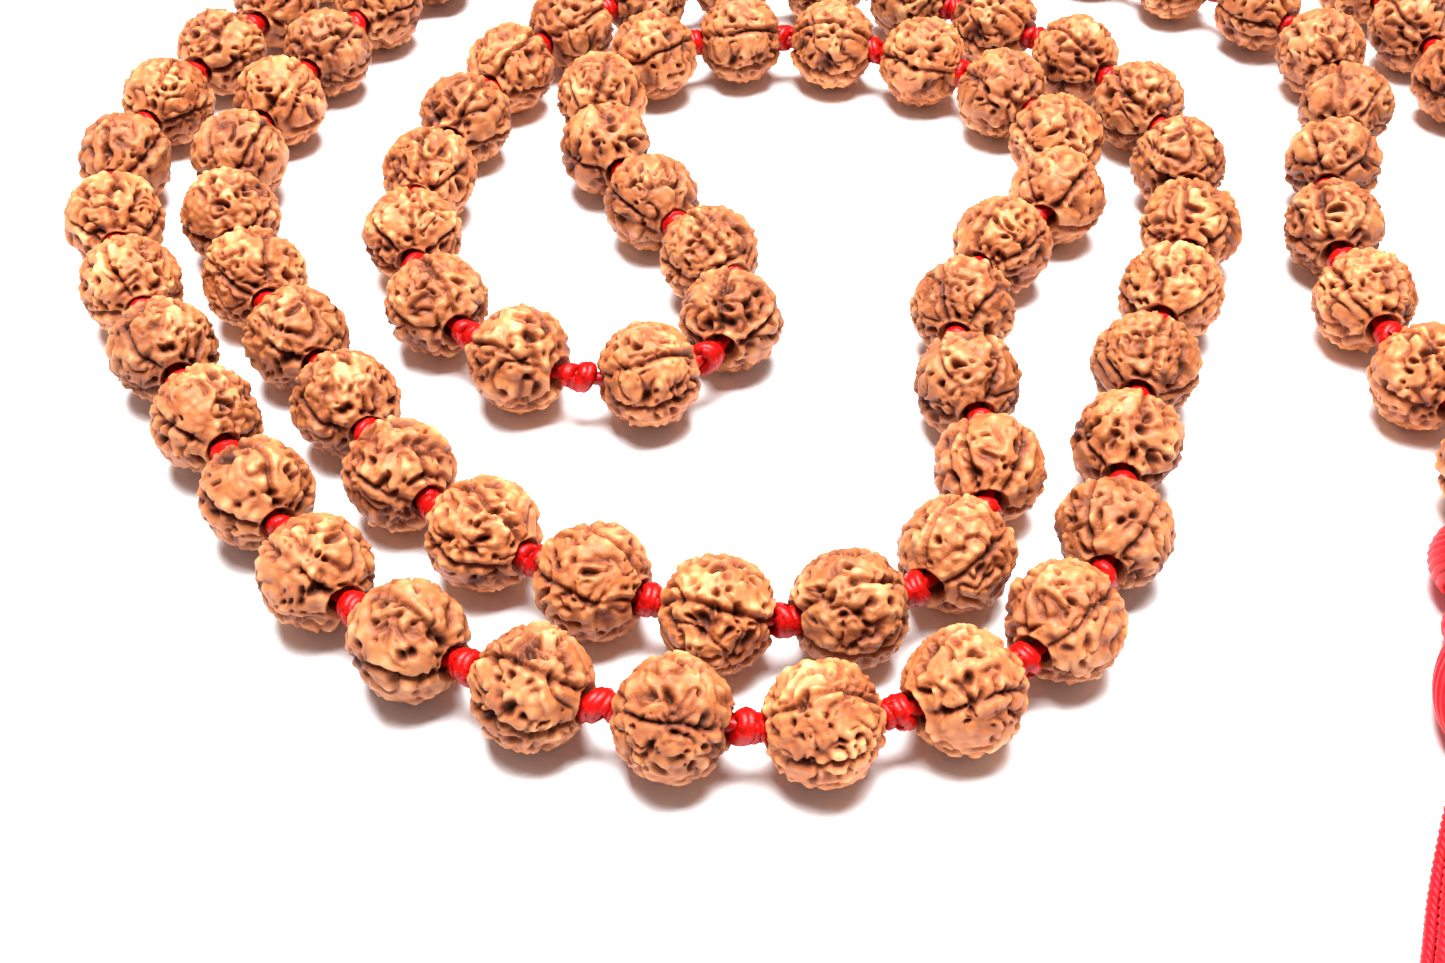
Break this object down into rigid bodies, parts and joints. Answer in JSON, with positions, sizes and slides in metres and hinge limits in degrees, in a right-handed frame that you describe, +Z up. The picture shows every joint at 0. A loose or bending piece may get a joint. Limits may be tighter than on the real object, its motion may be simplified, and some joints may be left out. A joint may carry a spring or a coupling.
{
  "type": "mala prayer beads",
  "caption": "Closed string of wrinkled drilled seeds knotted on a red thread, with a guru bead and a red tassel, lying flat in a doubled loop.",
  "frame": {"origin": "middle of the footprint, on the surface that the beads lie on", "axes": "+Z up; +Y across the loop away from the tassel; +X to the side that the guru bead is on"},
  "size_m": [0.1235, 0.1955, 0.0088],
  "materials": {
    "seed": "satin",
    "red_thread": "satin",
    "tassel_silk": "satin"
  },
  "bodies": {
    "string": {"mala_thread": "red_thread", "thread_knots": "red_thread", "guru_bead": "seed", "spaced_beads": "seed"},
    "bead_001": {"bead_001": "seed"},
    "bead_002": {"bead_002": "seed"},
    "bead_003": {"bead_003": "seed"},
    "bead_022": {"bead_022": "seed"},
    "bead_023": {"bead_023": "seed"},
    "bead_024": {"bead_024": "seed"},
    "bead_025": {"bead_025": "seed"},
    "bead_026": {"bead_026": "seed"},
    "bead_027": {"bead_027": "seed"},
    "bead_028": {"bead_028": "seed"},
    "bead_029": {"bead_029": "seed"},
    "bead_030": {"bead_030": "seed"},
    "bead_031": {"bead_031": "seed"},
    "bead_032": {"bead_032": "seed"},
    "bead_033": {"bead_033": "seed"},
    "bead_034": {"bead_034": "seed"},
    "bead_035": {"bead_035": "seed"},
    "bead_036": {"bead_036": "seed"},
    "bead_047": {"bead_047": "seed"},
    "bead_048": {"bead_048": "seed"},
    "bead_049": {"bead_049": "seed"},
    "bead_050": {"bead_050": "seed"},
    "bead_051": {"bead_051": "seed"},
    "bead_052": {"bead_052": "seed"},
    "bead_053": {"bead_053": "seed"},
    "bead_064": {"bead_064": "seed"},
    "bead_065": {"bead_065": "seed"},
    "bead_066": {"bead_066": "seed"},
    "bead_067": {"bead_067": "seed"},
    "bead_068": {"bead_068": "seed"},
    "bead_069": {"bead_069": "seed"},
    "bead_070": {"bead_070": "seed"},
    "bead_071": {"bead_071": "seed"},
    "bead_072": {"bead_072": "seed"},
    "bead_073": {"bead_073": "seed"},
    "bead_074": {"bead_074": "seed"},
    "bead_075": {"bead_075": "seed"},
    "bead_076": {"bead_076": "seed"},
    "bead_077": {"bead_077": "seed"},
    "bead_078": {"bead_078": "seed"},
    "bead_079": {"bead_079": "seed"},
    "bead_080": {"bead_080": "seed"},
    "bead_081": {"bead_081": "seed"},
    "tassel_head": {"head_knot": "tassel_silk"},
    "tassel": {"neck_knot": "tassel_silk", "tassel_knot": "tassel_silk", "tassel_collar": "tassel_silk", "yarn_1": "tassel_silk", "yarn_2": "tassel_silk", "yarn_3": "tassel_silk", "yarn_4": "tassel_silk", "yarn_5": "tassel_silk", "yarn_6": "tassel_silk", "yarn_7": "tassel_silk", "yarn_8": "tassel_silk", "yarn_9": "tassel_silk"}
  },
  "joints": [
    {"name": "bead_001_spin", "type": "hinge", "parent": "string", "child": "bead_001", "pos_m": [0.04247, -0.00401, 0.00415], "axis": [-0.3277, 0.9448, 0], "continuous": true},
    {"name": "bead_002_spin", "type": "hinge", "parent": "string", "child": "bead_002", "pos_m": [0.04033, 0.00491, 0.00415], "axis": [-0.1424, 0.9898, 0], "continuous": true},
    {"name": "bead_003_spin", "type": "hinge", "parent": "string", "child": "bead_003", "pos_m": [0.04021, 0.01405, 0.00415], "axis": [0.124, 0.9923, 0], "continuous": true},
    {"name": "bead_022_spin", "type": "hinge", "parent": "string", "child": "bead_022", "pos_m": [-0.04799, 0.0241, 0.00415], "axis": [-0.1128, -0.9936, 0], "continuous": true},
    {"name": "bead_023_spin", "type": "hinge", "parent": "string", "child": "bead_023", "pos_m": [-0.04713, 0.0156, 0.00415], "axis": [0.2938, -0.9559, 0], "continuous": true},
    {"name": "bead_024_spin", "type": "hinge", "parent": "string", "child": "bead_024", "pos_m": [-0.0438, 0.00762, 0.00415], "axis": [0.4676, -0.884, 0], "continuous": true},
    {"name": "bead_025_spin", "type": "hinge", "parent": "string", "child": "bead_025", "pos_m": [-0.03923, 0.00026, 0.00415], "axis": [0.5564, -0.8309, 0], "continuous": true},
    {"name": "bead_026_spin", "type": "hinge", "parent": "string", "child": "bead_026", "pos_m": [-0.03457, -0.00705, 0.00415], "axis": [0.5185, -0.8551, 0], "continuous": true},
    {"name": "bead_027_spin", "type": "hinge", "parent": "string", "child": "bead_027", "pos_m": [-0.02985, -0.0143, 0.00415], "axis": [0.6191, -0.7853, 0], "continuous": true},
    {"name": "bead_028_spin", "type": "hinge", "parent": "string", "child": "bead_028", "pos_m": [-0.02365, -0.02006, 0.00415], "axis": [0.8172, -0.5763, 0], "continuous": true},
    {"name": "bead_029_spin", "type": "hinge", "parent": "string", "child": "bead_029", "pos_m": [-0.0163, -0.02433, 0.00415], "axis": [0.9058, -0.4237, 0], "continuous": true},
    {"name": "bead_030_spin", "type": "hinge", "parent": "string", "child": "bead_030", "pos_m": [-0.00831, -0.02716, 0.00415], "axis": [0.9792, -0.2028, 0], "continuous": true},
    {"name": "bead_031_spin", "type": "hinge", "parent": "string", "child": "bead_031", "pos_m": [0.00002, -0.02671, 0.00415], "axis": [0.9565, 0.2916, 0], "continuous": true},
    {"name": "bead_032_spin", "type": "hinge", "parent": "string", "child": "bead_032", "pos_m": [0.00716, -0.02192, 0.00415], "axis": [0.5873, 0.8094, 0], "continuous": true},
    {"name": "bead_033_spin", "type": "hinge", "parent": "string", "child": "bead_033", "pos_m": [0.01012, -0.01373, 0.00415], "axis": [0.0933, 0.9956, 0], "continuous": true},
    {"name": "bead_034_spin", "type": "hinge", "parent": "string", "child": "bead_034", "pos_m": [0.00948, -0.0049, 0.00415], "axis": [-0.1205, 0.9927, 0], "continuous": true},
    {"name": "bead_035_spin", "type": "hinge", "parent": "string", "child": "bead_035", "pos_m": [0.01003, 0.00389, 0.00415], "axis": [0.2523, 0.9676, 0], "continuous": true},
    {"name": "bead_036_spin", "type": "hinge", "parent": "string", "child": "bead_036", "pos_m": [0.01376, 0.01187, 0.00415], "axis": [0.605, 0.7962, 0], "continuous": true},
    {"name": "bead_047_spin", "type": "hinge", "parent": "string", "child": "bead_047", "pos_m": [-0.00902, 0.01051, 0.00415], "axis": [0.5221, -0.8529, 0], "continuous": true},
    {"name": "bead_048_spin", "type": "hinge", "parent": "string", "child": "bead_048", "pos_m": [-0.00738, 0.00253, 0.00415], "axis": [-0.2059, -0.9786, 0], "continuous": true},
    {"name": "bead_049_spin", "type": "hinge", "parent": "string", "child": "bead_049", "pos_m": [-0.01332, -0.00385, 0.00415], "axis": [-0.9656, -0.26, 0], "continuous": true},
    {"name": "bead_050_spin", "type": "hinge", "parent": "string", "child": "bead_050", "pos_m": [-0.02279, -0.00207, 0.00415], "axis": [-0.8647, 0.5022, 0], "continuous": true},
    {"name": "bead_051_spin", "type": "hinge", "parent": "string", "child": "bead_051", "pos_m": [-0.02944, 0.00425, 0.00415], "axis": [-0.5357, 0.8444, 0], "continuous": true},
    {"name": "bead_052_spin", "type": "hinge", "parent": "string", "child": "bead_052", "pos_m": [-0.03231, 0.01299, 0.00415], "axis": [-0.12, 0.9928, 0], "continuous": true},
    {"name": "bead_053_spin", "type": "hinge", "parent": "string", "child": "bead_053", "pos_m": [-0.0319, 0.02155, 0.00415], "axis": [0.1864, 0.9825, 0], "continuous": true},
    {"name": "bead_064_spin", "type": "hinge", "parent": "string", "child": "bead_064", "pos_m": [0.02962, 0.0231, 0.00415], "axis": [0.0682, -0.9977, 0], "continuous": true},
    {"name": "bead_065_spin", "type": "hinge", "parent": "string", "child": "bead_065", "pos_m": [0.02893, 0.01417, 0.00415], "axis": [-0.2355, -0.9719, 0], "continuous": true},
    {"name": "bead_066_spin", "type": "hinge", "parent": "string", "child": "bead_066", "pos_m": [0.0259, 0.00571, 0.00415], "axis": [-0.3774, -0.9261, 0], "continuous": true},
    {"name": "bead_067_spin", "type": "hinge", "parent": "string", "child": "bead_067", "pos_m": [0.02268, -0.00271, 0.00415], "axis": [-0.3372, -0.9414, 0], "continuous": true},
    {"name": "bead_068_spin", "type": "hinge", "parent": "string", "child": "bead_068", "pos_m": [0.01992, -0.01129, 0.00415], "axis": [-0.2599, -0.9656, 0], "continuous": true},
    {"name": "bead_069_spin", "type": "hinge", "parent": "string", "child": "bead_069", "pos_m": [0.01776, -0.02003, 0.00415], "axis": [-0.2923, -0.9563, 0], "continuous": true},
    {"name": "bead_070_spin", "type": "hinge", "parent": "string", "child": "bead_070", "pos_m": [0.01343, -0.0278, 0.00415], "axis": [-0.6421, -0.7666, 0], "continuous": true},
    {"name": "bead_071_spin", "type": "hinge", "parent": "string", "child": "bead_071", "pos_m": [0.00658, -0.03347, 0.00415], "axis": [-0.889, -0.4579, 0], "continuous": true},
    {"name": "bead_072_spin", "type": "hinge", "parent": "string", "child": "bead_072", "pos_m": [-0.00199, -0.03595, 0.00415], "axis": [-0.9925, -0.1219, 0], "continuous": true},
    {"name": "bead_073_spin", "type": "hinge", "parent": "string", "child": "bead_073", "pos_m": [-0.01093, -0.03562, 0.00415], "axis": [-0.983, 0.1838, 0], "continuous": true},
    {"name": "bead_074_spin", "type": "hinge", "parent": "string", "child": "bead_074", "pos_m": [-0.0195, -0.03323, 0.00415], "axis": [-0.9368, 0.3499, 0], "continuous": true},
    {"name": "bead_075_spin", "type": "hinge", "parent": "string", "child": "bead_075", "pos_m": [-0.0275, -0.02937, 0.00415], "axis": [-0.8495, 0.5276, 0], "continuous": true},
    {"name": "bead_076_spin", "type": "hinge", "parent": "string", "child": "bead_076", "pos_m": [-0.03411, -0.0235, 0.00415], "axis": [-0.6261, 0.7797, 0], "continuous": true},
    {"name": "bead_077_spin", "type": "hinge", "parent": "string", "child": "bead_077", "pos_m": [-0.03926, -0.01624, 0.00415], "axis": [-0.5571, 0.8304, 0], "continuous": true},
    {"name": "bead_078_spin", "type": "hinge", "parent": "string", "child": "bead_078", "pos_m": [-0.04414, -0.00877, 0.00415], "axis": [-0.5376, 0.8432, 0], "continuous": true},
    {"name": "bead_079_spin", "type": "hinge", "parent": "string", "child": "bead_079", "pos_m": [-0.04876, -0.00114, 0.00415], "axis": [-0.4939, 0.8695, 0], "continuous": true},
    {"name": "bead_080_spin", "type": "hinge", "parent": "string", "child": "bead_080", "pos_m": [-0.05294, 0.00673, 0.00415], "axis": [-0.4357, 0.9001, 0], "continuous": true},
    {"name": "bead_081_spin", "type": "hinge", "parent": "string", "child": "bead_081", "pos_m": [-0.05614, 0.01503, 0.00415], "axis": [-0.2788, 0.9604, 0], "continuous": true},
    {"name": "tassel_swing", "type": "hinge", "parent": "string", "child": "tassel_head", "pos_m": [0.04335, -0.0185, 0.0034], "axis": [0, 0, 1], "range_deg": [-12, 20]},
    {"name": "tassel_lift", "type": "hinge", "parent": "tassel_head", "child": "tassel", "pos_m": [0.04041, -0.02491, 0.0023], "axis": [-0.9659, 0.2588, 0], "range_deg": [0, 30]}
  ]
}
